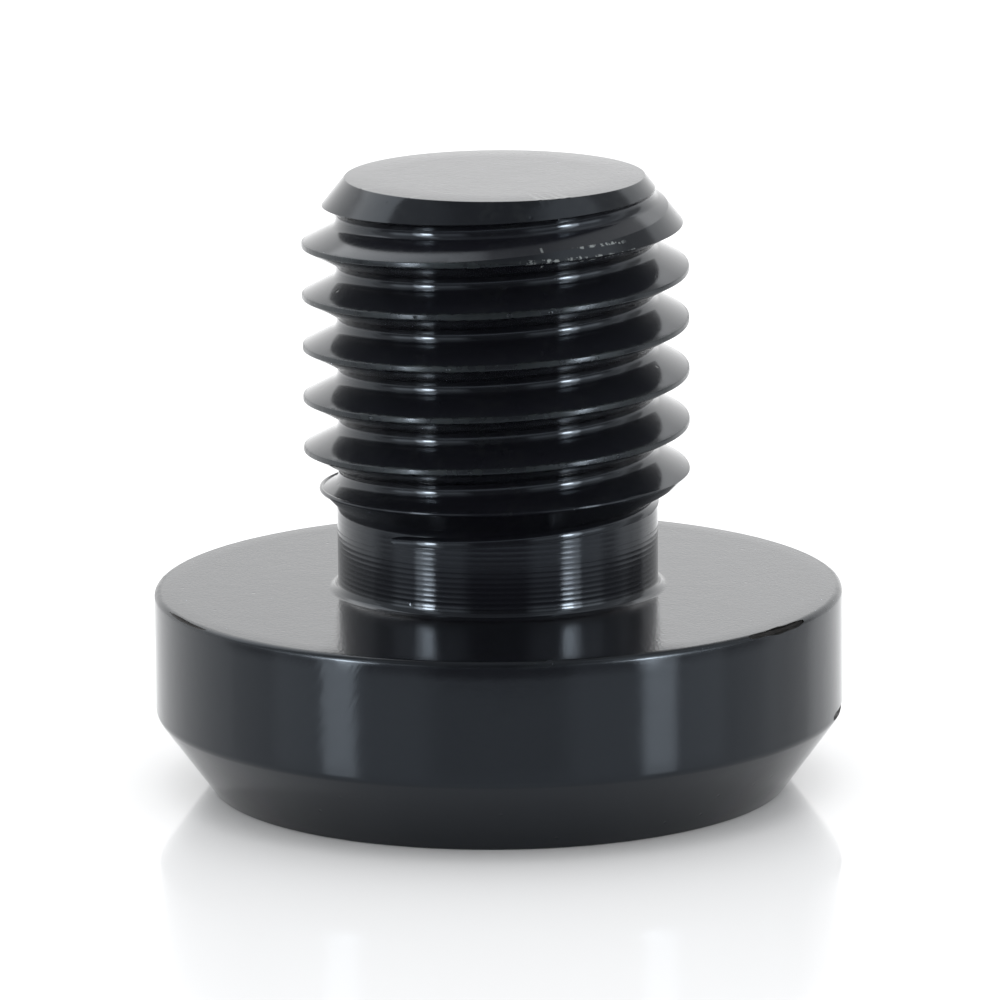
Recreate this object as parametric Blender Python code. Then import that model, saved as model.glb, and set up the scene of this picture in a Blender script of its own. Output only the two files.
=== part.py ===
"""Blanking plug bolt: one turned, threaded and black-coated piece.

It stands on the flat outer face of its head, at z = 0, with the thread's axis
up +Z. A round head with a chamfered outer edge carries an undercut neck, a
right-hand thread and a chamfered end. A hexagon socket, for the key that
drives it, opens in the face it stands on.
"""

import math

import bmesh
import bpy
from mathutils import Matrix

MM = 0.001

# Head, in millimetres.
HEAD_RADIUS = 8.49
FACE_RADIUS = 7.10  # the flat outer face, which the part stands on
CHAMFER_TOP_Z = 1.90
BEARING_Z = 4.95  # the annular face that meets the parent surface
RIM_ROUND = 0.22
RIM_STEPS = 3

# Neck: the undercut between the head and the thread.
NECK_RADIUS = 3.955
NECK_FILLET = 0.25
FILLET_STEPS = 3
SHOULDER_Z = 7.065  # a 45 degree shoulder leads from here up to the thread
SHOULDER_SLOPE = 1.0  # rise for each millimetre of radius

# Thread: 3/8 inch, 20 turns to the inch, 55 degrees included, right-hand.
THREAD_RADIUS = 4.75
PITCH = 25.4 / 20
FLANK_ANGLE = math.radians(27.5)  # each flank to the plane across the axis
CREST_WIDTH = 0.12
ROOT_RADIUS = 3.91
ROOT_FLAT = 0.14
CREST_AT_X = 11.646  # height of one crest where the helix crosses +X
LAST_GROOVE_Z = 6.40  # the groove fades out at this height in the neck
FADE_TURNS = 0.35

# Thread end.
END_Z = 15.20
END_RADIUS = 3.685
END_SLOPE = 1.253

# Hexagon socket in the head's outer face.
SOCKET_ACROSS_FLATS = 6.0
SOCKET_DEPTH = 4.5
SOCKET_LEAD_IN = 0.25
DRILL_RADIUS = 2.85
DRILL_POINT_ANGLE = math.radians(31.0)  # slope of the drilled cone's floor

AROUND = 80  # segments of the turned surfaces
THREAD_AROUND = 48  # sections of the groove in one turn


def clear_scene():
    for obj in list(bpy.data.objects):
        bpy.data.objects.remove(obj, do_unlink=True)
    for mesh in list(bpy.data.meshes):
        bpy.data.meshes.remove(mesh)


def quarter_round(centre_r, centre_z, radius, start_deg, end_deg, steps):
    """Points (r, z) along an arc, both ends included."""
    points = []
    for i in range(steps + 1):
        a = math.radians(start_deg + (end_deg - start_deg) * i / steps)
        points.append((centre_r + radius * math.cos(a), centre_z + radius * math.sin(a)))
    return points


def blank_profile():
    """The turned outline (r, z), from the face it stands on up to the end."""
    thread_start = SHOULDER_Z + (THREAD_RADIUS - NECK_RADIUS) * SHOULDER_SLOPE
    thread_end = END_Z - (THREAD_RADIUS - END_RADIUS) * END_SLOPE
    profile = [(FACE_RADIUS, 0.0), (HEAD_RADIUS, CHAMFER_TOP_Z)]
    profile += quarter_round(
        HEAD_RADIUS - RIM_ROUND, BEARING_Z - RIM_ROUND, RIM_ROUND, 0, 90, RIM_STEPS
    )
    profile += quarter_round(
        NECK_RADIUS + NECK_FILLET, BEARING_Z + NECK_FILLET, NECK_FILLET, 270, 180, FILLET_STEPS
    )
    profile += [
        (NECK_RADIUS, SHOULDER_Z),
        (THREAD_RADIUS, thread_start),
        (THREAD_RADIUS, thread_end),
        (END_RADIUS, END_Z),
    ]
    return profile


def ring(bm, radius, z, count, turn=0.0):
    verts = []
    for i in range(count):
        a = turn + 2 * math.pi * i / count
        verts.append(bm.verts.new((radius * math.cos(a) * MM, radius * math.sin(a) * MM, z * MM)))
    return verts


def bridge(bm, low, high):
    count = len(low)
    for i in range(count):
        j = (i + 1) % count
        bm.faces.new((low[i], low[j], high[j], high[i]))


def object_from(bm, name):
    bmesh.ops.recalc_face_normals(bm, faces=bm.faces[:])
    mesh = bpy.data.meshes.new(name)
    bm.to_mesh(mesh)
    bm.free()
    obj = bpy.data.objects.new(name, mesh)
    bpy.context.scene.collection.objects.link(obj)
    return obj


def turned(name, profile, count):
    """A closed turned body with flat ends."""
    bm = bmesh.new()
    rings = [ring(bm, r, z, count) for r, z in profile]
    for low, high in zip(rings, rings[1:]):
        bridge(bm, low, high)
    bm.faces.new(list(reversed(rings[0])))
    bm.faces.new(rings[-1])
    return object_from(bm, name)


def groove_section(over):
    """The thread groove's closed section: (radius, offset along the axis)."""
    half = (PITCH - CREST_WIDTH) / 2
    slope = math.tan(FLANK_ANGLE)
    outer = THREAD_RADIUS + over
    # Each flank ends where it is a little above the root, and a short facet
    # on each side then rounds the root.
    turn_in = ROOT_RADIUS + 0.07
    return [
        (outer, half + over * slope),
        (turn_in, half - (THREAD_RADIUS - turn_in) * slope),
        (ROOT_RADIUS, ROOT_FLAT / 2),
        (ROOT_RADIUS, -ROOT_FLAT / 2),
        (turn_in, -half + (THREAD_RADIUS - turn_in) * slope),
        (outer, -half - over * slope),
    ]


def groove_cutter(name):
    """The helical cutter: it fades out in the neck and runs past the end."""
    section = groove_section(0.06)
    groove_at_x = CREST_AT_X - PITCH / 2
    first = (LAST_GROOVE_Z - groove_at_x) / PITCH * 2 * math.pi
    last = (END_Z + 1.1 * PITCH - groove_at_x) / PITCH * 2 * math.pi
    count = int(math.ceil((last - first) / (2 * math.pi) * THREAD_AROUND))
    fade = FADE_TURNS * 2 * math.pi
    depth = THREAD_RADIUS - ROOT_RADIUS
    bm = bmesh.new()
    loops = []
    for i in range(count + 1):
        a = first + (last - first) * i / count
        z0 = groove_at_x + PITCH * a / (2 * math.pi)
        out = depth * max(0.0, 1.0 - (a - first) / fade) ** 2
        loops.append(
            [
                bm.verts.new(
                    (
                        (r + out) * math.cos(a) * MM,
                        (r + out) * math.sin(a) * MM,
                        (z0 + dz) * MM,
                    )
                )
                for r, dz in section
            ]
        )
    for a, b in zip(loops, loops[1:]):
        bridge(bm, a, b)
    bm.faces.new(list(reversed(loops[0])))
    bm.faces.new(loops[-1])
    return object_from(bm, name)


def socket_cutter(name):
    """The hexagon with its drilled cone behind it."""
    bm = bmesh.new()
    corner = SOCKET_ACROSS_FLATS / math.sqrt(3)
    low = ring(bm, corner, -1.0, 6)
    high = ring(bm, corner, SOCKET_DEPTH, 6)
    bridge(bm, low, high)
    bm.faces.new(list(reversed(low)))
    bm.faces.new(high)
    return object_from(bm, name)


def cone_cutter(name):
    """The drilled cone that a hexagon broach leaves behind its floor."""
    bm = bmesh.new()
    low = ring(bm, DRILL_RADIUS, SOCKET_DEPTH - 0.6, 48, math.pi / 48)
    high = ring(bm, DRILL_RADIUS, SOCKET_DEPTH + 0.2, 48, math.pi / 48)
    rise = (DRILL_RADIUS - 0.15) * math.tan(DRILL_POINT_ANGLE)
    tip = ring(bm, 0.15, SOCKET_DEPTH + 0.2 + rise, 48, math.pi / 48)
    bridge(bm, low, high)
    bridge(bm, high, tip)
    bm.faces.new(list(reversed(low)))
    bm.faces.new(tip)
    return object_from(bm, name)


def lead_in_cutter(name):
    """The small countersink at the socket's mouth."""
    bm = bmesh.new()
    corner = SOCKET_ACROSS_FLATS / math.sqrt(3)
    wide = corner + SOCKET_LEAD_IN * 0.6
    low = ring(bm, wide + 0.5, -0.5, 64, math.pi / 64)
    high = ring(bm, wide - SOCKET_LEAD_IN - 0.5, SOCKET_LEAD_IN + 0.5, 64, math.pi / 64)
    bridge(bm, low, high)
    bm.faces.new(list(reversed(low)))
    bm.faces.new(high)
    return object_from(bm, name)


def helper(obj):
    obj.hide_render = True
    obj.display_type = "WIRE"


def cut(obj, cutter, name):
    helper(cutter)
    modifier = obj.modifiers.new(name, "BOOLEAN")
    modifier.operation = "DIFFERENCE"
    modifier.solver = "EXACT"
    modifier.object = cutter


def material(name, colour, roughness, metallic):
    made = bpy.data.materials.new(name)
    made.use_nodes = True
    shader = next(n for n in made.node_tree.nodes if n.type == "BSDF_PRINCIPLED")
    shader.inputs["Base Color"].default_value = (*colour, 1.0)
    shader.inputs["Roughness"].default_value = roughness
    shader.inputs["Metallic"].default_value = metallic
    made.diffuse_color = (*colour, 1.0)
    return made


def main():
    clear_scene()
    bolt = turned("plug_bolt", blank_profile(), AROUND)
    bolt.data.materials.append(material("black_coating", (0.012, 0.014, 0.016), 0.25, 0.0))
    bolt.matrix_world = Matrix.Identity(4)
    cut(bolt, groove_cutter("thread_groove_cutter"), "thread_groove")
    cut(bolt, socket_cutter("socket_cutter"), "hexagon_socket")
    cut(bolt, cone_cutter("socket_drill_cutter"), "socket_drill")
    cut(bolt, lead_in_cutter("socket_lead_in_cutter"), "socket_lead_in")
    bolt.data.shade_smooth()
    bolt.data.set_sharp_from_angle(angle=math.radians(25))


main()
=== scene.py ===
"""Looks of the blanking plug bolt: a fine mesh of the turned and threaded piece
with its marks, its glossy black anodised finish, a glossy pale floor and a
soft studio."""

import math

import bmesh
import bpy
import numpy as np
from mathutils import Matrix, Vector
from mathutils.bvhtree import BVHTree


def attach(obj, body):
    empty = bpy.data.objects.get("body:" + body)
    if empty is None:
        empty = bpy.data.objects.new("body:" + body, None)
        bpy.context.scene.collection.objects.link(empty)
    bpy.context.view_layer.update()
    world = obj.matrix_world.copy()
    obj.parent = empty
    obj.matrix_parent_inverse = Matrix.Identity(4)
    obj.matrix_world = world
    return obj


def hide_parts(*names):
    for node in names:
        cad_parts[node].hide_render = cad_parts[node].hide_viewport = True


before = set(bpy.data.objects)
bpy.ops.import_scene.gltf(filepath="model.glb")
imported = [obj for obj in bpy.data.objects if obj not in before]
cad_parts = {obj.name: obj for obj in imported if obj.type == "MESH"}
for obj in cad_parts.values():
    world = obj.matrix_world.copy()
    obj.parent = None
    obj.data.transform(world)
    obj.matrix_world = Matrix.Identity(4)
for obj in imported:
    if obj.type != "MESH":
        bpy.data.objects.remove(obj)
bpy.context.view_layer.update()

MM = 0.001

# The sizes of the frame's solid, in millimetres; the groove fades out sooner.
HEAD_RADIUS = 8.49
FACE_RADIUS = 7.10
CHAMFER_TOP_Z = 1.90
BEARING_Z = 4.95
NECK_RADIUS = 3.955
NECK_FILLET = 0.25
SHOULDER_Z = 7.065
THREAD_RADIUS = 4.75
PITCH = 25.4 / 20
FLANK_ANGLE = math.radians(27.5)
CREST_WIDTH = 0.12
CREST_ROUND = 0.035
ROOT_RADIUS = 3.91
CREST_AT_X = 11.646
LAST_GROOVE_Z = 6.62
FADE_TURNS = 0.12
END_Z = 15.20
END_RADIUS = 3.685
END_SLOPE = 1.253
SOCKET_ACROSS_FLATS = 6.0
SOCKET_DEPTH = 4.5
SOCKET_LEAD_IN = 0.25
DRILL_RADIUS = 2.85
DRILL_POINT_ANGLE = math.radians(31.0)

# Detail that only the looks need.
AROUND = 240
RIM_ROUND = 0.14
CORNER_ROUND = 0.30  # between the head's side and its wide chamfer
FACE_ROUND = 0.08
END_ROUND = 0.035
NECK_FEED = 0.127  # spacing of the turning grooves in the neck
NECK_GROOVE = 0.0025  # their depth
NECK_STEPS = 6
SHOULDER_ROUND = 0.40  # between the neck and the shoulder
OVERSIZE = 0.05  # the blank's shank before the thread is cut


def arc(centre_r, centre_z, radius, start_deg, end_deg, steps):
    points = []
    for i in range(steps + 1):
        a = math.radians(start_deg + (end_deg - start_deg) * i / steps)
        points.append((centre_r + radius * math.cos(a), centre_z + radius * math.sin(a)))
    return points


def corner(before, at, after, radius, steps):
    """Points of a round of that radius in the corner of an (r, z) outline."""
    a = Vector(before) - Vector(at)
    b = Vector(after) - Vector(at)
    a.normalize()
    b.normalize()
    half = math.acos(max(-1.0, min(1.0, a.dot(b)))) / 2
    length = radius / math.tan(half)
    middle = Vector(at) + (a + b).normalized() * (radius / math.sin(half))
    start = Vector(at) + a * length - middle
    end = Vector(at) + b * length - middle
    turn = start.angle_signed(end)
    points = []
    for i in range(steps + 1):
        t = -turn * i / steps
        x = start.x * math.cos(t) - start.y * math.sin(t)
        y = start.x * math.sin(t) + start.y * math.cos(t)
        points.append((middle.x + x, middle.y + y))
    return points


def neck_points():
    """The scallops that the tool's feed left along the neck."""
    low = BEARING_Z + NECK_FILLET + 0.01
    high = SHOULDER_Z - SHOULDER_ROUND * math.tan(math.pi / 8) - 0.01
    count = int(round((high - low) / NECK_FEED))
    points = []
    for k in range(count):
        for i in range(NECK_STEPS):
            t = i / NECK_STEPS
            z = low + (high - low) * (k + t) / count
            depth = NECK_GROOVE * (1.0 - (2 * t - 1.0) ** 2)
            depth *= 0.50 + 0.40 * abs(math.sin(2.3 * k + 0.4)) + 1.6 / (1.0 + k * k)
            points.append((NECK_RADIUS - depth, z))
    points.append((NECK_RADIUS, high))
    return points


def fillet_points():
    """The round at the neck's foot, with the marks of the tool's last steps."""
    points = []
    steps = 24
    for i in range(steps + 1):
        t = i / steps
        a = math.radians(270 - 90 * t)
        radius = NECK_FILLET + 0.0045 * math.sin(math.pi * t) * abs(math.sin(3 * math.pi * t))
        points.append(
            (
                NECK_RADIUS + NECK_FILLET + radius * math.cos(a),
                BEARING_Z + NECK_FILLET + radius * math.sin(a),
            )
        )
    return points


def blank_profile():
    shank = THREAD_RADIUS + OVERSIZE
    shoulder_top = SHOULDER_Z + (shank - NECK_RADIUS)
    chamfer_low = END_Z - (shank - END_RADIUS) * END_SLOPE
    face = (FACE_RADIUS, 0.0)
    side = (HEAD_RADIUS, CHAMFER_TOP_Z)
    rim = (HEAD_RADIUS, BEARING_Z)
    end = (END_RADIUS, END_Z)
    profile = [(FACE_RADIUS - 0.9, 0.0)]
    profile += corner((0.0, 0.0), face, side, FACE_ROUND, 6)
    for i in range(1, 6):
        profile.append(
            (
                FACE_RADIUS + (HEAD_RADIUS - FACE_RADIUS) * i / 6,
                CHAMFER_TOP_Z * i / 6,
            )
        )
    profile += corner(face, side, rim, CORNER_ROUND, 6)
    for i in range(1, 8):
        low = CHAMFER_TOP_Z + 0.12
        high = BEARING_Z - RIM_ROUND
        profile.append((HEAD_RADIUS, low + (high - low) * i / 8))
    profile += arc(HEAD_RADIUS - RIM_ROUND, BEARING_Z - RIM_ROUND, RIM_ROUND, 0, 90, 10)
    for i in range(1, 8):
        outer = HEAD_RADIUS - RIM_ROUND
        inner = NECK_RADIUS + NECK_FILLET
        profile.append((outer + (inner - outer) * i / 8, BEARING_Z))
    profile += fillet_points()
    profile += neck_points()
    foot = SHOULDER_Z - SHOULDER_ROUND * math.tan(math.pi / 8)
    profile += arc(NECK_RADIUS + SHOULDER_ROUND, foot, SHOULDER_ROUND, 180, 135, 8)
    profile += [
        (shank, shoulder_top),
        (shank, chamfer_low),
    ]
    for i in range(1, 7):
        profile.append(
            (shank + (END_RADIUS - shank) * i / 7, chamfer_low + (END_Z - chamfer_low) * i / 7)
        )
    profile += corner((shank, chamfer_low), end, (0.0, END_Z), END_ROUND, 6)
    profile += [(END_RADIUS * 0.72, END_Z), (END_RADIUS * 0.42, END_Z), (0.12, END_Z)]
    return profile


def object_of(name, bm):
    bmesh.ops.recalc_face_normals(bm, faces=bm.faces[:])
    mesh = bpy.data.meshes.new(name)
    bm.to_mesh(mesh)
    bm.free()
    obj = bpy.data.objects.new(name, mesh)
    bpy.context.scene.collection.objects.link(obj)
    return obj


def ring(bm, radius, z, count, turn=0.0):
    return [
        bm.verts.new(
            (
                radius * math.cos(turn + 2 * math.pi * i / count) * MM,
                radius * math.sin(turn + 2 * math.pi * i / count) * MM,
                z * MM,
            )
        )
        for i in range(count)
    ]


def bridge(bm, low, high):
    count = len(low)
    for i in range(count):
        j = (i + 1) % count
        bm.faces.new((low[i], low[j], high[j], high[i]))


def turned(name, profile, count):
    bm = bmesh.new()
    rings = [ring(bm, r, z, count) for r, z in profile]
    for low, high in zip(rings, rings[1:]):
        bridge(bm, low, high)
    bm.faces.new(list(reversed(rings[0])))
    bm.faces.new(rings[-1])
    return object_of(name, bm)


def thread_rows():
    """(offset along the axis from a crest's middle, radius) over one pitch."""
    slope = 1 / math.tan(FLANK_ANGLE)
    root_round = (ROOT_RADIUS - (THREAD_RADIUS - (PITCH - CREST_WIDTH) / 2 * slope)) / (
        1 / math.sin(FLANK_ANGLE) - 1
    )
    lean = math.pi / 2 - FLANK_ANGLE
    back = CREST_ROUND * math.tan(lean / 2)
    rows = [(0.0, THREAD_RADIUS)]
    for i in range(6):
        a = lean * i / 5
        rows.append(
            (
                CREST_WIDTH / 2 - back + CREST_ROUND * math.sin(a),
                THREAD_RADIUS - CREST_ROUND * (1 - math.cos(a)),
            )
        )
    steps = 7
    arc_rows = []
    for i in range(steps + 1):
        a = -lean + lean * i / steps
        arc_rows.append(
            (
                PITCH / 2 + root_round * math.sin(a),
                ROOT_RADIUS + root_round * (1 - math.cos(a)),
            )
        )
    last, first = rows[-1], arc_rows[0]
    for t in (0.33, 0.67):
        rows.append((last[0] + (first[0] - last[0]) * t, last[1] + (first[1] - last[1]) * t))
    rows += arc_rows
    half = [row for row in rows if row[0] < PITCH / 2 - 1e-9]
    rows += [(PITCH - u, r) for u, r in reversed(half) if u > 1e-9]
    return rows


def thread_nut(name):
    """The space outside the thread, as a closed sleeve round it."""
    rows = thread_rows()
    per_turn = len(rows)
    us = np.array([u for u, _ in rows])
    rs = np.array([r for _, r in rows])
    table_u = np.append(us, PITCH)
    table_r = np.append(rs, rs[0])
    z_low, z_high = 6.02, END_Z + 0.7
    wall = 6.4
    groove_at_x = CREST_AT_X - PITCH / 2
    first = (LAST_GROOVE_Z - groove_at_x) / PITCH * 2 * math.pi
    fade = FADE_TURNS * 2 * math.pi
    depth = THREAD_RADIUS - ROOT_RADIUS
    turns_below = int(math.ceil((CREST_AT_X - z_low) / PITCH)) + 2
    turns_above = int(math.ceil((z_high - CREST_AT_X) / PITCH)) + 2
    ks = np.arange(-turns_below, turns_above)
    offsets = (ks[:, None] * PITCH + us[None, :]).ravel()
    total = len(offsets)
    points = []
    for i in range(AROUND):
        theta = 2 * math.pi * i / AROUND
        crest = CREST_AT_X + PITCH * theta / (2 * math.pi)
        z = np.clip(crest + offsets, z_low, z_high)
        u = np.mod(z - crest, PITCH)
        r = np.interp(u, table_u, table_r)
        turn = np.floor((z - crest) / PITCH)  # the groove above this crest
        a = theta + 2 * math.pi * (turn + 1)
        out = depth * np.clip(1.0 - (a - first) / fade, 0.0, 2.0) ** 2
        r = np.minimum(r + out, 5.4)
        points.append(
            np.stack([r * math.cos(theta), r * math.sin(theta), z], axis=1) * MM
        )
    points = np.concatenate(points)
    faces = []
    for i in range(AROUND):
        here = i * total
        if i < AROUND - 1:
            there, shift = (i + 1) * total, 0
        else:
            there, shift = 0, per_turn
        for m in range(total - 1 - shift):
            faces.append(
                (here + m, there + m + shift, there + m + 1 + shift, here + m + 1)
            )
    base = len(points)
    outer = []
    for z in (z_low, z_high):
        for i in range(AROUND):
            theta = 2 * math.pi * i / AROUND
            outer.append((wall * math.cos(theta) * MM, wall * math.sin(theta) * MM, z * MM))
    points = np.concatenate([points, np.array(outer)])
    for i in range(AROUND):
        j = (i + 1) % AROUND
        faces.append((base + i, base + j, j * total, i * total))
        top_i = i * total + total - 1
        top_j = j * total + total - 1
        faces.append((base + AROUND + j, base + AROUND + i, top_i, top_j))
        faces.append((base + j, base + i, base + AROUND + i, base + AROUND + j))
    mesh = bpy.data.meshes.new(name)
    mesh.from_pydata(points.tolist(), [], faces)
    bm = bmesh.new()
    bm.from_mesh(mesh)
    bmesh.ops.remove_doubles(bm, verts=bm.verts[:], dist=2e-7)
    bmesh.ops.dissolve_degenerate(bm, dist=1e-8, edges=bm.edges[:])
    bmesh.ops.recalc_face_normals(bm, faces=bm.faces[:])
    bm.to_mesh(mesh)
    bm.free()
    obj = bpy.data.objects.new(name, mesh)
    bpy.context.scene.collection.objects.link(obj)
    return obj


def socket_cutter():
    bm = bmesh.new()
    across = SOCKET_ACROSS_FLATS / math.sqrt(3)
    low = ring(bm, across, -1.0, 6)
    high = ring(bm, across, SOCKET_DEPTH, 6)
    bridge(bm, low, high)
    bm.faces.new(list(reversed(low)))
    bm.faces.new(high)
    return object_of("socket_cutter", bm)


def cone_cutter():
    bm = bmesh.new()
    low = ring(bm, DRILL_RADIUS, SOCKET_DEPTH - 0.6, 96, math.pi / 96)
    high = ring(bm, DRILL_RADIUS, SOCKET_DEPTH + 0.2, 96, math.pi / 96)
    rise = (DRILL_RADIUS - 0.15) * math.tan(DRILL_POINT_ANGLE)
    tip = ring(bm, 0.15, SOCKET_DEPTH + 0.2 + rise, 96, math.pi / 96)
    bridge(bm, low, high)
    bridge(bm, high, tip)
    bm.faces.new(list(reversed(low)))
    bm.faces.new(tip)
    return object_of("cone_cutter", bm)


def lead_in_cutter():
    bm = bmesh.new()
    wide = SOCKET_ACROSS_FLATS / math.sqrt(3) + SOCKET_LEAD_IN * 0.6
    low = ring(bm, wide + 0.5, -0.5, 128, math.pi / 128)
    high = ring(bm, wide - SOCKET_LEAD_IN - 0.5, SOCKET_LEAD_IN + 0.5, 128, math.pi / 128)
    bridge(bm, low, high)
    bm.faces.new(list(reversed(low)))
    bm.faces.new(high)
    return object_of("lead_in_cutter", bm)


def crest_height(azimuth, turn):
    """Height of the thread's crest there; azimuth 0 is the front, + to the right."""
    return CREST_AT_X + PITCH * ((azimuth - 90.0) / 360.0 + turn)


def dent(bm, azimuth, radius, z, along, deep, tall):
    """A small ellipsoid set into the surface: half sizes along, into and up it."""
    a = math.radians(azimuth)
    made = bmesh.ops.create_icosphere(bm, subdivisions=2, radius=1.0)["verts"]
    place = (
        Matrix.Translation(Vector((radius * math.sin(a), -radius * math.cos(a), z)) * MM)
        @ Matrix.Rotation(a, 4, "Z")
        @ Matrix.Diagonal(Vector((along * MM, deep * MM, tall * MM, 1.0)))
    )
    bmesh.ops.transform(bm, matrix=place, verts=made)


def gouge(bm, start, end, radius, z, size, steps=12):
    """A shallow channel along the rim between two azimuths, thin at its ends."""
    rings = []
    for i in range(steps + 1):
        t = i / steps
        a = math.radians(start + (end - start) * t)
        r = radius + 0.012 * math.sin(9.0 * t)
        h = z + 0.016 * math.sin(7.0 * t + 0.6) - 0.02 * t
        thick = size * (0.45 + 0.55 * math.sin(math.pi * t) ** 0.6 + 0.12 * math.sin(17.0 * t))
        loop = []
        for k in range(8):
            b = 2 * math.pi * k / 8
            reach = r + thick * math.cos(b)
            loop.append(
                bm.verts.new(
                    (
                        reach * math.sin(a) * MM,
                        -reach * math.cos(a) * MM,
                        (h + thick * math.sin(b)) * MM,
                    )
                )
            )
        rings.append(loop)
    for low, high in zip(rings, rings[1:]):
        bridge(bm, low, high)
    bm.faces.new(list(reversed(rings[0])))
    bm.faces.new(rings[-1])


def marks_cutter():
    """The knocks that the piece has taken on its edges."""
    bm = bmesh.new()
    dent(bm, -99.0, 8.47, 4.93, 0.09, 0.07, 0.06)
    dent(bm, -90.0, 8.54, 4.38, 0.06, 0.08, 0.07)
    for azimuth, size in ((17.5, 0.05), (20.5, 0.035), (25.0, 0.045), (29.0, 0.06), (-34.0, 0.03), (-62.0, 0.04)):
        dent(bm, azimuth, END_RADIUS, END_Z + 0.012, size * 1.6, size, size * 0.8)
    for azimuth, turn, size in (
        (-24.0, 1, 0.05),
        (4.0, 1, 0.06),
        (16.0, 1, 0.045),
        (-14.0, 0, 0.05),
        (31.0, 0, 0.04),
        (-40.0, -1, 0.05),
        (9.0, -1, 0.035),
        (38.0, -2, 0.05),
        (-8.0, -2, 0.04),
        (-19.0, 0, 0.03),
    ):
        dent(bm, azimuth, THREAD_RADIUS + 0.02, crest_height(azimuth, turn), size * 1.5, size, size)
    return object_of("marks_cutter", bm)


def gouge_cutter(name, start, end, radius, z, size):
    bm = bmesh.new()
    gouge(bm, start, end, radius, z, size)
    return object_of(name, bm)


def run_out_bead():
    """The rounded edge of the last crest, where the shoulder cuts it away."""
    bm = bmesh.new()
    slope = 1 / math.tan(FLANK_ANGLE)
    low, high, steps = -200.0, 63.0, 176
    rings = []
    for i in range(steps + 1):
        azimuth = low + (high - low) * i / steps
        a = math.radians(azimuth)
        crest = crest_height(azimuth, -3) + CREST_WIDTH / 2
        z = (SHOULDER_Z - NECK_RADIUS + THREAD_RADIUS + crest * slope) / (1 + slope)
        r = NECK_RADIUS + z - SHOULDER_Z
        thick = 0.058 * min(1.0, 0.2 + i / 14, 0.2 + (steps - i) / 14)
        loop = []
        for k in range(10):
            b = 2 * math.pi * k / 10
            reach = r - 0.55 * thick + thick * math.cos(b)
            loop.append(
                bm.verts.new(
                    (
                        reach * math.sin(a) * MM,
                        -reach * math.cos(a) * MM,
                        (z + 0.15 * thick + thick * math.sin(b)) * MM,
                    )
                )
            )
        rings.append(loop)
    for one, other in zip(rings, rings[1:]):
        bridge(bm, one, other)
    bm.faces.new(list(reversed(rings[0])))
    bm.faces.new(rings[-1])
    return object_of("run_out_bead", bm)


def build_bolt():
    bolt = turned("bolt_body", blank_profile(), AROUND)
    scars = [
        gouge_cutter("gouge_right", 45.5, 61.0, 8.450, 4.905, 0.098),
        gouge_cutter("gouge_left", -76.0, -56.0, 8.452, 4.935, 0.042),
        gouge_cutter("chip_right", 75.0, 92.0, 8.488, 1.98, 0.115),
    ]
    steps = [(scar, "DIFFERENCE") for scar in scars] + [
        (marks_cutter(), "DIFFERENCE"),
        (thread_nut("thread_nut"), "DIFFERENCE"),
        (run_out_bead(), "UNION"),
        (socket_cutter(), "DIFFERENCE"),
        (cone_cutter(), "DIFFERENCE"),
        (lead_in_cutter(), "DIFFERENCE"),
    ]
    for other, operation in steps:
        modifier = bolt.modifiers.new(other.name, "BOOLEAN")
        modifier.operation = operation
        modifier.solver = "EXACT"
        modifier.object = other
    graph = bpy.context.evaluated_depsgraph_get()
    mesh = bpy.data.meshes.new_from_object(bolt.evaluated_get(graph), depsgraph=graph)
    bolt.modifiers.clear()
    old = bolt.data
    bolt.data = mesh
    bpy.data.meshes.remove(old)
    mesh.name = "bolt_body"
    bm = bmesh.new()
    bm.from_mesh(mesh)
    bmesh.ops.remove_doubles(bm, verts=bm.verts[:], dist=2e-7)
    bm.to_mesh(mesh)
    bm.free()
    # The faces that the scars left, for their own finish.
    scarred = set()
    for scar in scars:
        tree = BVHTree.FromPolygons([v.co for v in scar.data.vertices], [p.vertices for p in scar.data.polygons])
        for polygon in mesh.polygons:
            if tree.find_nearest(polygon.center, 0.002 * MM)[0] is not None:
                scarred.add(polygon.index)
    for other, _ in steps:
        data = other.data
        bpy.data.objects.remove(other, do_unlink=True)
        bpy.data.meshes.remove(data)
    return bolt, scarred


bolt, scarred = build_bolt()
bolt.data.shade_smooth()
bolt.data.set_sharp_from_angle(angle=math.radians(15))


# --- Finish -----------------------------------------------------------------


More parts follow.
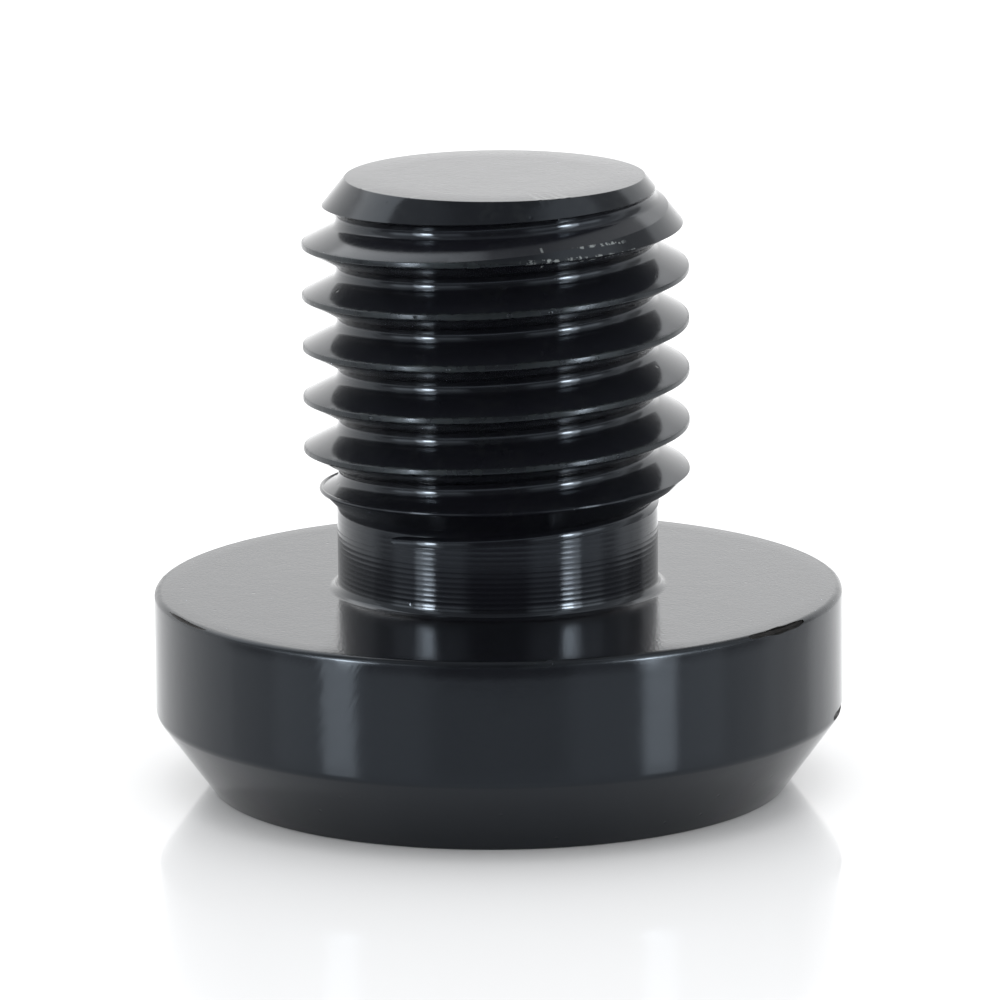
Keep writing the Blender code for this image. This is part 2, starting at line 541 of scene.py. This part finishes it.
class Graph:
    """Short calls for making shader nodes."""

    def __init__(self, tree):
        self.tree = tree
        tree.nodes.clear()

    def add(self, kind, **settings):
        node = self.tree.nodes.new(kind)
        for key, value in settings.items():
            setattr(node, key, value)
        return node

    def link(self, a, b):
        self.tree.links.new(a, b)

    def math(self, operation, a, b=None, c=None, clamp=False):
        node = self.add("ShaderNodeMath", operation=operation, use_clamp=clamp)
        for i, value in enumerate((a, b, c)):
            if value is None:
                continue
            if isinstance(value, (int, float)):
                node.inputs[i].default_value = value
            else:
                self.link(value, node.inputs[i])
        return node.outputs[0]

    def ramp(self, value, low, high, out_low=0.0, out_high=1.0, smooth=True):
        node = self.add("ShaderNodeMapRange", interpolation_type="SMOOTHSTEP" if smooth else "LINEAR")
        self.link(value, node.inputs["Value"])
        for name, v in (("From Min", low), ("From Max", high), ("To Min", out_low), ("To Max", out_high)):
            node.inputs[name].default_value = v
        return node.outputs["Result"]

    def product(self, *factors):
        made = factors[0]
        for factor in factors[1:]:
            made = self.math("MULTIPLY", made, factor)
        return made

    def total(self, *terms):
        made = terms[0]
        for term in terms[1:]:
            made = self.math("ADD", made, term)
        return made

    def noise(self, place, scale, detail=2.0, rough=0.5, dimensions="3D"):
        """Noise about 0, from -0.5 to 0.5."""
        node = self.add("ShaderNodeTexNoise", noise_dimensions=dimensions)
        self.link(place, node.inputs["W" if dimensions == "1D" else "Vector"])
        node.inputs["Scale"].default_value = scale
        node.inputs["Detail"].default_value = detail
        node.inputs["Roughness"].default_value = rough
        return self.math("SUBTRACT", node.outputs[0], 0.5)

    def specks(self, place, scale, share, small, large):
        """1 inside scattered specks, in that share of the cells."""
        node = self.add("ShaderNodeTexVoronoi")
        self.link(place, node.inputs["Vector"])
        node.inputs["Scale"].default_value = scale
        pick = self.add("ShaderNodeSeparateColor")
        self.link(node.outputs["Color"], pick.inputs[0])
        chosen = self.ramp(pick.outputs[0], share, share + 0.02, 1.0, 0.0)
        return self.math("MULTIPLY", self.ramp(node.outputs["Distance"], small, large, 1.0, 0.0), chosen)

    def mix(self, share, a, b):
        node = self.add("ShaderNodeMix", data_type="RGBA")
        self.link(share, node.inputs[0])
        for value, socket in ((a, node.inputs[6]), (b, node.inputs[7])):
            if isinstance(value, tuple):
                socket.default_value = (*value, 1.0)
            else:
                self.link(value, socket)
        return node.outputs[2]


def black_finish(name, turned):
    """The anodised finish, of the turned surfaces or of the rest."""
    mat = bpy.data.materials.new(name)
    mat.use_nodes = True
    g = Graph(mat.node_tree)
    out = g.add("ShaderNodeOutputMaterial")
    shader = g.add("ShaderNodeBsdfPrincipled")
    shader.inputs["Metallic"].default_value = 0.0
    shader.inputs["IOR"].default_value = 1.39
    shader.inputs["Specular Tint"].default_value = (0.75, 0.87, 1.0, 1.0)
    if turned:
        # Turning marks run round the axis and spread reflections across them.
        shader.inputs["Anisotropic"].default_value = 0.8
        shader.inputs["Anisotropic Rotation"].default_value = 0.25
        round_axis = g.add("ShaderNodeTangent", direction_type="RADIAL", axis="Z")
        g.link(round_axis.outputs[0], shader.inputs["Tangent"])

    # Places in millimetres; azimuth in degrees, 0 at the front.
    where = g.add("ShaderNodeTexCoord")
    scaled = g.add("ShaderNodeVectorMath", operation="SCALE")
    scaled.inputs["Scale"].default_value = 1000.0
    g.link(where.outputs["Object"], scaled.inputs[0])
    place = scaled.outputs[0]
    split = g.add("ShaderNodeSeparateXYZ")
    g.link(place, split.inputs[0])
    x, y, z = split.outputs
    radius = g.math("POWER", g.math("ADD", g.math("MULTIPLY", x, x), g.math("MULTIPLY", y, y)), 0.5)
    azimuth = g.math("MULTIPLY", g.math("ARCTAN2", x, g.math("MULTIPLY", y, -1.0)), 180.0 / math.pi)

    grain = g.noise(place, 14.0, 2.0, 0.7)
    cloud = g.noise(place, 0.9, 2.0, 0.6)
    mottle = g.noise(place, 4.5, 1.0, 0.6)
    pits = g.product(g.specks(place, 2.3, 0.16, 0.05, 0.14), g.ramp(radius, 8.42, 8.45, 1.0, 0.0))
    if turned:
        lines = g.noise(z, 16.0, 2.0, 0.6, "1D")
        black = (0.0052, 0.0055, 0.0076)
        smooth = 0.120
        spread = 0.045
        grain_depth = 0.00045
        line_depth = 0.00003
        sway = 0.0008
    else:
        along = g.math("ADD", g.math("MULTIPLY", radius, 1.0), g.math("MULTIPLY", z, 0.7))
        lines = g.noise(along, 13.0, 2.0, 0.6, "1D")
        black = (0.0036, 0.0038, 0.0051)
        smooth = 0.095
        spread = 0.05
        flat = g.math("MAXIMUM", g.ramp(z, 15.16, 15.185), g.product(g.ramp(z, 4.93, 4.947), g.ramp(z, 4.96, 5.0, 1.0, 0.0)))
        grain_depth = g.math("ADD", 0.00060, g.math("MULTIPLY", flat, 0.0044))
        line_depth = 0.00012
        sway = 0.0036

    # Crests are worn dull and a little grey; dirt and knocks make it uneven.
    thread = g.product(g.ramp(z, 6.9, 7.2), g.ramp(z, 14.0, 14.3, 1.0, 0.0))
    crest = g.product(
        g.ramp(radius, 4.66, 4.745),
        thread,
        g.ramp(g.math("ADD", cloud, g.math("MULTIPLY", mottle, 0.7)), -0.25, 0.25, 0.25, 1.0),
    )
    rim = g.product(
        g.ramp(z, 4.74, 4.84),
        g.ramp(z, 4.96, 5.0, 1.0, 0.0),
        g.ramp(radius, 8.28, 8.36),
        g.ramp(cloud, -0.3, 0.3, 0.2, 0.7),
    )
    worn = g.math("MAXIMUM", crest, rim)
    colour = g.mix(g.math("MAXIMUM", crest, g.math("MULTIPLY", rim, 0.3)), black, (0.0085, 0.0105, 0.0105))

    # Bright nicks in two rows along the first crest, on its right.
    wander = g.math("ADD", radius, g.math("MULTIPLY", g.noise(azimuth, 0.3, 1.0, 0.5, "1D"), 0.06))
    broken = g.ramp(g.math("ADD", g.noise(azimuth, 0.42, 1.0, 0.6, "1D"), g.math("MULTIPLY", grain, 0.8)), 0.0, 0.12)
    lower = g.product(g.ramp(azimuth, 6.0, 14.0), g.ramp(azimuth, 44.0, 52.0, 1.0, 0.0), g.ramp(wander, 4.68, 4.715), broken)
    upper = g.product(
        g.ramp(azimuth, 23.0, 28.0),
        g.ramp(azimuth, 40.0, 45.0, 1.0, 0.0),
        g.ramp(wander, 4.50, 4.52),
        g.ramp(wander, 4.545, 4.565, 1.0, 0.0),
        g.ramp(g.math("ADD", g.noise(azimuth, 0.5, 1.0, 0.6, "1D"), g.math("MULTIPLY", grain, 0.8)), -0.04, 0.10),
    )
    single = g.product(
        g.ramp(azimuth, 13.9, 14.2),
        g.ramp(azimuth, 14.6, 14.9, 1.0, 0.0),
        g.ramp(radius, 4.38, 4.42),
        g.ramp(radius, 4.54, 4.58, 0.6, 0.0),
    )
    nicks = g.product(g.math("MAXIMUM", g.math("MAXIMUM", lower, upper), single), g.ramp(z, 13.2, 13.4))
    colour = g.mix(nicks, colour, (0.16, 0.175, 0.175))

    # Faint dust, mostly in the thread.
    dust = g.product(g.ramp(mottle, -0.1, 0.25), g.ramp(cloud, -0.15, 0.15), g.ramp(z, 6.0, 7.5, 0.08, 0.3))
    colour = g.mix(dust, colour, (0.014, 0.016, 0.016))
    g.link(colour, shader.inputs["Base Color"])

    roughness = g.total(
        smooth,
        g.math("MULTIPLY", cloud, spread),
        g.math("MULTIPLY", mottle, spread * 0.8),
        g.math("MULTIPLY", worn, 0.27),
        g.math("MULTIPLY", nicks, 0.25),
        g.math("MULTIPLY", dust, 0.10),
    )
    g.link(g.math("MAXIMUM", roughness, 0.06), shader.inputs["Roughness"])

    # A patch of slanting rubs on the head's side, in front on the left.
    slant = g.add("ShaderNodeCombineXYZ")
    g.link(g.math("MULTIPLY", g.math("SUBTRACT", g.math("MULTIPLY", azimuth, 0.148), g.math("MULTIPLY", z, 0.55)), 4.5), slant.inputs[0])
    g.link(g.math("MULTIPLY", z, 0.8), slant.inputs[1])
    rubs = g.product(
        g.noise(slant.outputs[0], 1.0, 2.0, 0.65),
        g.ramp(azimuth, -44.0, -36.0),
        g.ramp(azimuth, -22.0, -15.0, 1.0, 0.0),
        g.ramp(radius, 8.3, 8.4),
        g.ramp(z, 1.9, 2.4),
        g.ramp(z, 4.7, 4.85, 1.0, 0.0),
    )
    height = g.total(
        g.math("MULTIPLY", rubs, 0.0024),
        g.math("MULTIPLY", grain, grain_depth),
        g.math("MULTIPLY", lines, line_depth),
        g.math("MULTIPLY", cloud, sway),
        g.math("MULTIPLY", mottle, sway * 0.1),
        g.math("MULTIPLY", g.product(worn, mottle), 0.002),
        g.math("MULTIPLY", pits, -0.004),
        g.math("MULTIPLY", nicks, 0.004),
    )
    bump = g.add("ShaderNodeBump")
    bump.inputs["Strength"].default_value = 1.0
    bump.inputs["Distance"].default_value = MM
    g.link(height, bump.inputs["Height"])
    g.link(bump.outputs[0], shader.inputs["Normal"])
    g.link(shader.outputs[0], out.inputs["Surface"])
    return mat


def scar_finish():
    """The dull dark ground of the gouges and the chip."""
    mat = bpy.data.materials.new("black_anodised_scar")
    mat.use_nodes = True
    g = Graph(mat.node_tree)
    out = g.add("ShaderNodeOutputMaterial")
    shader = g.add("ShaderNodeBsdfPrincipled")
    shader.inputs["IOR"].default_value = 1.25
    where = g.add("ShaderNodeTexCoord")
    uneven = g.noise(where.outputs["Object"], 6000.0, 2.0, 0.6)
    g.link(g.mix(g.ramp(uneven, -0.2, 0.2), (0.003, 0.003, 0.003), (0.010, 0.0095, 0.009)), shader.inputs["Base Color"])
    g.link(g.math("ADD", 0.5, g.math("MULTIPLY", uneven, 0.3)), shader.inputs["Roughness"])
    g.link(shader.outputs[0], out.inputs["Surface"])
    return mat


def paint_bolt():
    """The turned finish for the shank's sides, a dull one for scars, one for the rest."""
    mesh = bolt.data
    mesh.materials.clear()
    mesh.materials.append(black_finish("black_anodised_turned", True))
    mesh.materials.append(black_finish("black_anodised", False))
    mesh.materials.append(scar_finish())
    for polygon in mesh.polygons:
        centre = polygon.center / MM
        radius = math.hypot(centre.x, centre.y)
        cone = abs(centre.z - END_Z + (radius - END_RADIUS) * END_SLOPE) < 0.02
        side = radius < 4.9 and 5.2 < centre.z < END_Z - 0.01 and not cone
        polygon.material_index = 2 if polygon.index in scarred else 0 if side else 1


paint_bolt()
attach(bolt, "root")
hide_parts("plug_bolt")


# --- Stage ------------------------------------------------------------------


def floor_material():
    mat = bpy.data.materials.new("pale_floor")
    mat.use_nodes = True
    g = Graph(mat.node_tree)
    out = g.add("ShaderNodeOutputMaterial")
    shader = g.add("ShaderNodeBsdfPrincipled")
    shader.inputs["Base Color"].default_value = (0.84, 0.846, 0.855, 1.0)
    shader.inputs["Roughness"].default_value = 0.08
    shader.inputs["IOR"].default_value = 1.45
    # Painted shade, seen only in what the bolt mirrors: the floor's colour is darkened
    # further out and in front, where the camera stands over it, and that keeps the front of the bolt dark.
    where = g.add("ShaderNodeTexCoord")
    split = g.add("ShaderNodeSeparateXYZ")
    g.link(where.outputs["Object"], split.inputs[0])
    ahead = g.math("MULTIPLY", split.outputs[1], -1.0)
    across = g.math("DIVIDE", g.math("ABSOLUTE", split.outputs[0]), g.math("MAXIMUM", ahead, 0.001))
    shade = g.math("MULTIPLY", g.ramp(ahead, 0.025, 0.034), g.ramp(across, 0.32, 0.52, 1.0, 0.0))
    rays = g.add("ShaderNodeLightPath")
    unseen = g.math("SUBTRACT", 1.0, rays.outputs["Is Camera Ray"])
    shade = g.math("MULTIPLY", shade, unseen)
    # Painted shade: the patch in front is given a near-black colour.
    painted_shade_tone = g.add("ShaderNodeMix", data_type="RGBA")
    g.link(shade, painted_shade_tone.inputs[0])
    painted_shade_tone.inputs[6].default_value = (0.84, 0.846, 0.855, 1.0)
    painted_shade_tone.inputs[7].default_value = (0.06, 0.06, 0.065, 1.0)
    # Painted shade: further out in the front half the floor's colour is darker and it mirrors less.
    far_painted_shade = g.math("POWER", g.total(
        g.math("MULTIPLY", split.outputs[0], split.outputs[0]),
        g.math("MULTIPLY", split.outputs[1], split.outputs[1]),
    ), 0.5)
    far_painted_shade = g.product(g.ramp(far_painted_shade, 0.026, 0.036), g.ramp(ahead, -0.004, 0.004), unseen)
    painted_shade_tone = g.mix(far_painted_shade, painted_shade_tone.outputs[2], (0.20, 0.20, 0.21))
    g.link(painted_shade_tone, shader.inputs["Base Color"])
    g.link(g.math("SUBTRACT", 0.5, g.math("MULTIPLY", far_painted_shade, 0.39)), shader.inputs["Specular IOR Level"])
    # The floor is seen from above only, so the underside can be looked at.
    clear = g.add("ShaderNodeBsdfTransparent")
    geometry = g.add("ShaderNodeNewGeometry")
    mix = g.add("ShaderNodeMixShader")
    g.link(geometry.outputs["Backfacing"], mix.inputs[0])
    g.link(shader.outputs[0], mix.inputs[1])
    g.link(clear.outputs[0], mix.inputs[2])
    g.link(mix.outputs[0], out.inputs["Surface"])
    return mat


def make_floor():
    bm = bmesh.new()
    low = ring(bm, 6.6, -0.005, 96)
    high = ring(bm, 3000.0, -0.005, 96)
    bridge(bm, low, high)
    floor = object_of("floor", bm)
    for polygon in floor.data.polygons:
        if polygon.normal.z < 0:
            floor.data.flip_normals()
            break
    floor.data.materials.append(floor_material())
    return floor


floor = make_floor()


class Studio(Graph):
    """The light round the part by azimuth and elevation in degrees.

    Azimuth 0 is the side the part is looked at from, and it grows to the right.
    """

    def __init__(self, tree):
        super().__init__(tree)
        where = self.add("ShaderNodeTexCoord")
        split = self.add("ShaderNodeSeparateXYZ")
        self.link(where.outputs["Generated"], split.inputs[0])
        x, y, z = split.outputs
        degrees = 180.0 / math.pi
        behind = self.math("MULTIPLY", y, -1.0)
        self.azimuth = self.math("MULTIPLY", self.math("ARCTAN2", x, behind), degrees)
        self.aside = self.math("ABSOLUTE", self.azimuth)
        self.elevation = self.math("MULTIPLY", self.math("ARCSINE", z), degrees)
        self.right = self.ramp(x, -0.04, 0.04)
        self.left = self.math("SUBTRACT", 1.0, self.right)

    def between(self, value, low, high, soft_low, soft_high=None, times=None):
        """1 between low and high, with soft borders that wide."""
        soft_high = soft_low if soft_high is None else soft_high
        rise = self.ramp(value, low - soft_low / 2, low + soft_low / 2)
        fall = self.ramp(value, high - soft_high / 2, high + soft_high / 2, 1.0, 0.0)
        inside = self.math("MULTIPLY", rise, fall)
        return inside if times is None else self.math("MULTIPLY", inside, times)

    def blend(self, a, b, share):
        """a where share is 0, b where it is 1."""
        node = self.add("ShaderNodeMix", data_type="FLOAT", clamp_factor=True)
        for value, socket in ((share, node.inputs[0]), (a, node.inputs[2]), (b, node.inputs[3])):
            if isinstance(value, (int, float)):
                socket.default_value = value
            else:
                self.link(value, socket)
        return node.outputs[0]


def make_world():
    world = bpy.data.worlds.new("studio")
    bpy.context.scene.world = world
    world.use_nodes = True
    g = Studio(world.node_tree)
    el, az, aside = g.elevation, g.azimuth, g.aside
    # In front: dark round the lens, lighter to each side, and less so higher up.
    beside = g.ramp(el, 8.0, 28.0, 1.32, 0.5)
    light = g.blend(0.14, beside, g.ramp(aside, 17.0, 29.0))
    light = g.blend(light, g.ramp(el, 4.0, 24.0, 3.0, 1.0), g.ramp(aside, 60.0, 66.0))
    light = g.blend(light, 0.95, g.ramp(aside, 76.0, 84.0))
    high = g.blend(0.4, g.blend(0.72, 1.4, g.right), g.ramp(aside, 20.0, 50.0))
    light = g.blend(light, high, g.ramp(el, 36.0, 48.0))
    # Behind: a pale wall, with a softbox above it on the left.
    wall = g.blend(1.42, 1.5, g.right)
    right = g.blend(wall, 1.9, g.ramp(el, 24.0, 33.0))
    right = g.blend(right, 0.78, g.ramp(el, 34.5, 37.5))
    right = g.blend(right, 0.62, g.between(az, 106.0, 127.0, 14.0, 6.0))
    light = g.blend(light, wall, g.ramp(az, -101.0, -99.0, 1.0, 0.0))
    light = g.blend(light, right, g.ramp(az, 96.0, 106.0))
    # Overhead it is dim.
    light = g.blend(light, 0.42, g.ramp(el, 58.0, 66.0))
    box = g.between(el, 28.0, 64.5, 6.0, 2.0, g.between(az, -171.0, -100.0, 4.0, 2.0))
    light = g.blend(light, g.ramp(el, 52.0, 64.0, 2.6, 1.9), box)
    # Two low strip lights in front, one on each side.
    glow = g.ramp(el, 8.0, 30.0, 10.5, 3.0)
    glow = g.math("MULTIPLY", g.math("MULTIPLY", glow, g.ramp(el, 34.0, 46.0, 1.0, 0.0)), g.between(aside, 49.0, 61.0, 4.0))
    core = g.math("MULTIPLY", g.ramp(el, 4.0, 12.0, 47.0, 0.0), g.between(aside, 46.5, 54.5, 3.0))
    light = g.math("ADD", light, g.math("ADD", glow, core))
    # Below the floor's level, for the underside.
    light = g.blend(light, 0.7, g.ramp(el, -3.0, -1.0, 1.0, 0.0))
    seen = g.add("ShaderNodeLightPath")
    light = g.blend(light, 1.52, seen.outputs["Is Diffuse Ray"])
    light = g.blend(light, 1.0, seen.outputs["Is Camera Ray"])
    back = g.add("ShaderNodeBackground")
    back.inputs["Color"].default_value = (1.0, 1.0, 1.0, 1.0)
    g.link(light, back.inputs["Strength"])
    out = g.add("ShaderNodeOutputWorld")
    g.link(back.outputs[0], out.inputs["Surface"])
    world.cycles.sampling_method = "NONE"


make_world()


def make_camera():
    pitch, yaw, roll = 0.2105, -0.0003, -0.009
    forward_x = Vector((math.cos(yaw), math.sin(yaw), 0.0))
    forward_y = Vector((-math.sin(yaw), math.cos(yaw), 0.0))
    up = Vector((0.0, 0.0, 1.0))
    forward = forward_y * math.cos(pitch) - up * math.sin(pitch)
    up_view = forward_y * math.sin(pitch) + up * math.cos(pitch)
    right = forward_x * math.cos(roll) + up_view * math.sin(roll)
    top = -forward_x * math.sin(roll) + up_view * math.cos(roll)
    data = bpy.data.cameras.new("camera")
    data.sensor_width = 36.0
    data.lens = 8690.92 / 1000.0 * 36.0
    data.clip_start, data.clip_end = 0.01, 20.0
    camera = bpy.data.objects.new("camera", data)
    bpy.context.scene.collection.objects.link(camera)
    matrix = Matrix((right, top, -forward)).transposed().to_4x4()
    matrix.translation = Vector((0.0, -209.525, 51.850)) * MM
    camera.matrix_world = matrix
    bpy.context.scene.camera = camera


make_camera()
bpy.context.scene.view_settings.view_transform = "Standard"
